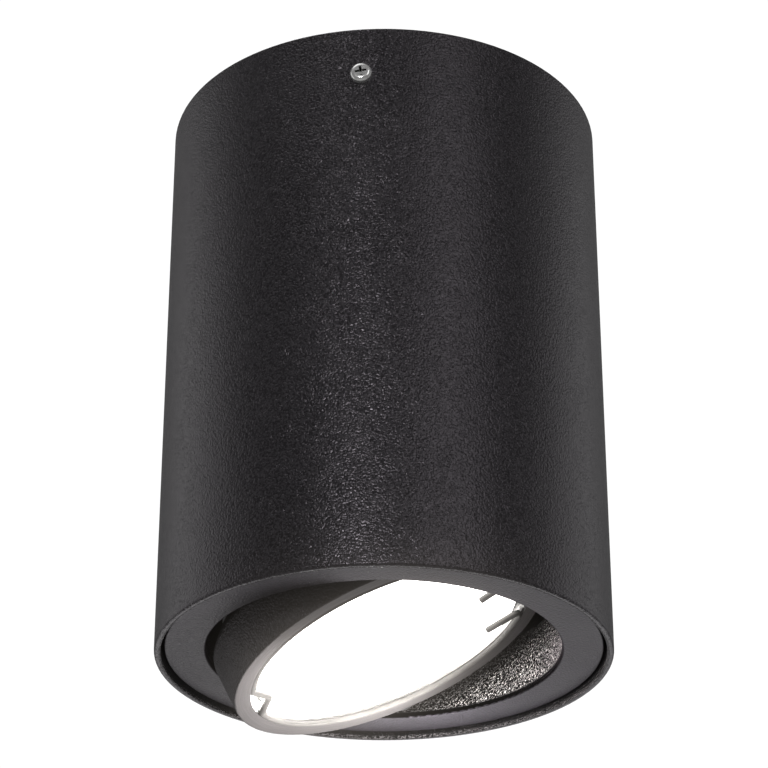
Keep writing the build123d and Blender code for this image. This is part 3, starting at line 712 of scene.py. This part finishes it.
def clip_route():
    ends = [(18.0, 10.75), (17.85, -3.1)]
    arc1 = [on_clip(18.0 + 149.0 * k / 140) for k in range(141)]
    arc2 = [on_clip(190.0 + 155.0 * k / 140) for k in range(141)]
    flat = [Vector((x, y, 0)) for x, y in [ends[0], *arc1, (-23.3, 0.5), *arc2, ends[1]]]

    def walk(i, direction, reach):
        j, at, left = i, flat[i], reach
        while (flat[j + direction] - at).length < left:
            left -= (flat[j + direction] - at).length
            j += direction
            at = flat[j]
        return at + (flat[j + direction] - at).normalized() * left

    bends = {}
    for i in (1, 141, 142, 143, 283):
        turn = (flat[i] - flat[i - 1]).angle(flat[i + 1] - flat[i])
        bends[i] = min(1.0 * math.tan(turn / 2), 2.4)
    out = []
    for i, p in enumerate(flat):
        if i in bends:
            s, e = walk(i, -1, bends[i]), walk(i, 1, bends[i])
            for k in range(13):
                t = k / 12
                out.append((1 - t) ** 2 * s + 2 * t * (1 - t) * p + t**2 * e)
        elif all(abs(i - b) > 9 or (p - flat[b]).length > bends[b] for b in bends):
            out.append(p)
    kept = [out[0]]
    for q in out[1:]:
        if (q - kept[-1]).length > 0.02:
            kept.append(q)
    return [head_point(q.x, q.y, CLIP_H) for q in kept]


def piece(ob, body, slot, *stands_for):
    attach(ob, body)
    if stands_for:
        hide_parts(*stands_for)
    return ob


piece(wires("clip_wire", [clip_route()], 0.6 * MM, WIRE, sides=28, edge=0.00012), "head", "spring_steel", "lamp_clip")


def lens_piece():
    """The lamp's lens: seven shallow lenses over the chips and a flat flange."""
    seg = 180
    spots = [(0.0, 0.0)] + [
        (10.5 * math.cos(math.radians(a)), 10.5 * math.sin(math.radians(a))) for a in range(0, 360, 60)
    ]

    def front(x, y):
        r = math.hypot(x, y)
        if r > 23.0:
            return -0.74
        h = -0.60
        for sx, sy in spots:
            d = math.hypot(x - sx, y - sy)
            if d < 4.9:
                h -= 0.18 * (1 - (d / 4.9) ** 2)
                h += 0.015 * math.sin(d * 9.0)
        if r > 22.4:
            h += (-0.74 - h) * (r - 22.4) / 0.6
        return max(h, -0.79)

    radii = [0.35 * k for k in range(1, 72)] + [24.95]
    verts = [head_point(0, 0, front(0, 0) + LAMP_SET)]
    for r in radii:
        for k in range(seg):
            x, y = r * math.cos(2 * math.pi * k / seg), r * math.sin(2 * math.pi * k / seg)
            verts.append(head_point(x, y, front(x, y) + LAMP_SET))
    for r, h in ((24.95, -0.715), (24.2, -0.715), (24.2, 1.1)):
        for k in range(seg):
            verts.append(
                head_point(r * math.cos(2 * math.pi * k / seg), r * math.sin(2 * math.pi * k / seg), h + LAMP_SET)
            )
    faces = [(0, 1 + (k + 1) % seg, 1 + k) for k in range(seg)]
    total = len(radii) + 3
    for i in range(total - 1):
        a, b = 1 + i * seg, 1 + (i + 1) * seg
        for k in range(seg):
            m = (k + 1) % seg
            faces.append((a + k, a + m, b + m, b + k))
    last = 1 + (total - 1) * seg
    faces.append(tuple(last + k for k in range(seg)))
    ob = mesh_object("lens_plate", verts, faces, LENS)
    for polygon in ob.data.polygons[-1 - 3 * seg:]:
        polygon.use_smooth = False
    return ob


piece(lens_piece(), "head", "lit_lamp_lens", "lamp_lens")


def metres(points):
    return [Vector(p) * MM if not isinstance(p, Vector) else p for p in points]


def lead(points):
    points = metres(points)
    return rounded_path(points, bend_radii(points))


upper = wires(
    "upper_leads",
    [
        lead([(-19.0, 0, -6.0), (-1.2, 0, -6.0), (-1.2, 0, -22.0)]),
        lead([(-19.0, -9.5, -6.0), (1.2, -9.5, -6.0), (1.2, 0, -15.0), (1.2, 0, -22.0)]),
    ],
    1.0 * MM,
    SILICONE,
)
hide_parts("holder_leads_upper")
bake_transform(upper)

lower = wires(
    "lower_leads",
    [
        lead([(-1.2, 0, -22.0), (-1.2, 0, -31.0), (-21.5, 4.6, -33.5), head_point(0, 5.0, 66.6), head_point(0, 5.0, 56.3)]),
        lead([(1.2, 0, -22.0), (1.2, 0, -35.0), (-22.0, -4.6, -35.8), head_point(0, -5.0, 65.6), head_point(0, -5.0, 56.3)]),
    ],
    1.0 * MM,
    SILICONE,
)
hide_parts("holder_leads_lower")
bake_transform(lower)

earth = wires(
    "earth_lead_striped",
    [lead([(-19.0, 9.5, -6.0), (-7.0, 9.5, -6.0), (0.0, 12.0, -5.0), (5.5, 9.0, -3.6), (13.2, 9.0, -3.6)])],
    1.0 * MM,
    EARTH,
    sides=24,
)
piece(earth, "housing", "green_yellow_insulation", "earth_lead")

# ---------------------------------------------------------------------- floor
bm = bmesh.new()
bmesh.ops.create_grid(bm, x_segments=8, y_segments=8, size=8.0)
floor_mesh = bpy.data.meshes.new("floor")
bm.to_mesh(floor_mesh)
bm.free()
floor = bpy.data.objects.new("floor", floor_mesh)
scene.collection.objects.link(floor)
floor.location = (0, 0, -1.3)
fn = Nodes("pale_floor")
fn.set(
    Base_Color=fn.ramp(fn.noise(3.0, 4.0), (0.3, (0.80, 0.80, 0.79)), (0.7, (0.84, 0.84, 0.83))),
    Roughness=fn.span(fn.noise(20.0, 3.0), 0.55, 0.75),
)
floor_mesh.materials.append(fn.mat)

# --------------------------------------------------- the lens's bloom on the film
scene.use_nodes = True
ct = scene.node_tree
ct.nodes.clear()
layers = ct.nodes.new("CompositorNodeRLayers")
glare = ct.nodes.new("CompositorNodeGlare")
glare.glare_type = "BLOOM"
glare.quality = "HIGH"
glare.inputs["Threshold"].default_value = 1.5
glare.inputs["Strength"].default_value = 0.04
glare.inputs["Size"].default_value = 0.3
glare.inputs["Tint"].default_value = (1.0, 0.92, 0.84, 1.0)
film = ct.nodes.new("CompositorNodeComposite")
ct.links.new(layers.outputs["Image"], glare.inputs["Image"])
ct.links.new(glare.outputs["Image"], film.inputs["Image"])
